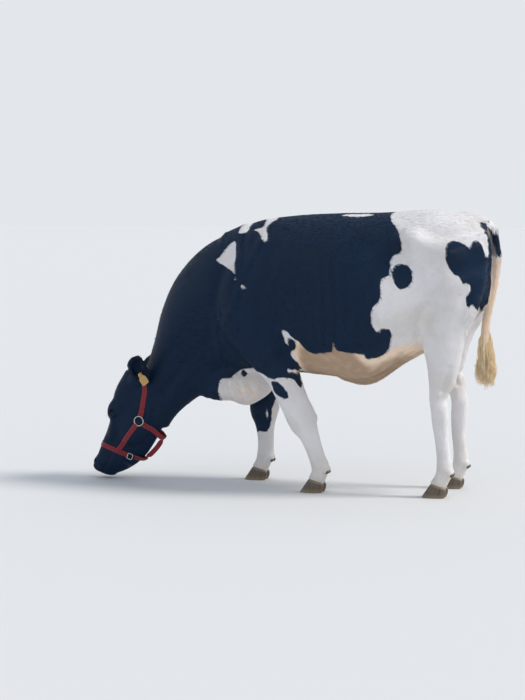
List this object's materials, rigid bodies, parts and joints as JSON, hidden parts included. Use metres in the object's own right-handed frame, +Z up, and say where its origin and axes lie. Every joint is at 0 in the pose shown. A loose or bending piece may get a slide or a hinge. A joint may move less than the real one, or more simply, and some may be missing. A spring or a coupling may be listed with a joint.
{
  "type": "grazing cow",
  "caption": "Life-size still model of a black and white dairy cow, head down to graze, with a webbing halter and a plain ear tag.",
  "frame": {"origin": "on the ground, under the middle of the bounding box", "axes": "+Z up; the cow faces -X and its left side faces -Y"},
  "size_m": [2.205, 0.6706, 1.4454],
  "materials": {
    "coat": "short flat hair, very dark blue-black with large white patches, white lower legs and brisket",
    "switch_hair": "long wavy cream hair",
    "claw_horn": "dull horn with growth rings",
    "eye": "wet, nearly black brown",
    "webbing": "woven crimson strap with stitched edges",
    "ring_steel": "bright plated ring",
    "tag_plastic": "bare tan plastic"
  },
  "bodies": {
    "root": {"trunk": "coat", "neck": "coat", "head": "coat", "left_hind_upper": "coat", "left_hind_lower": "coat", "left_hind_pastern": "coat", "left_hind_claw_outer": "claw_horn", "left_hind_dewclaw_outer": "claw_horn", "left_hind_claw_inner": "claw_horn", "left_hind_dewclaw_inner": "claw_horn", "right_hind_upper": "coat", "right_hind_lower": "coat", "right_hind_pastern": "coat", "right_hind_claw_outer": "claw_horn", "right_hind_dewclaw_outer": "claw_horn", "right_hind_claw_inner": "claw_horn", "right_hind_dewclaw_inner": "claw_horn", "left_fore_upper": "coat", "left_fore_lower": "coat", "left_fore_pastern": "coat", "left_fore_claw_outer": "claw_horn", "left_fore_dewclaw_outer": "claw_horn", "left_fore_claw_inner": "claw_horn", "left_fore_dewclaw_inner": "claw_horn", "right_fore_upper": "coat", "right_fore_lower": "coat", "right_fore_pastern": "coat", "right_fore_claw_outer": "claw_horn", "right_fore_dewclaw_outer": "claw_horn", "right_fore_claw_inner": "claw_horn", "right_fore_dewclaw_inner": "claw_horn", "ear_left": "coat", "eye_left": "eye", "ear_right": "coat", "eye_right": "eye", "tail_dock": "coat", "tail_switch": "switch_hair", "halter_noseband": "webbing", "halter_chin": "webbing", "halter_crown": "webbing", "halter_throat": "webbing", "halter_cheek_left": "webbing", "halter_cheek_right": "webbing", "halter_jaw": "webbing", "halter_ring_left": "ring_steel", "halter_ring_right": "ring_steel", "halter_link_left": "ring_steel", "halter_link_right": "ring_steel", "ear_tag": "tag_plastic", "ear_tag_stud": "tag_plastic"}
  },
  "joints": []
}
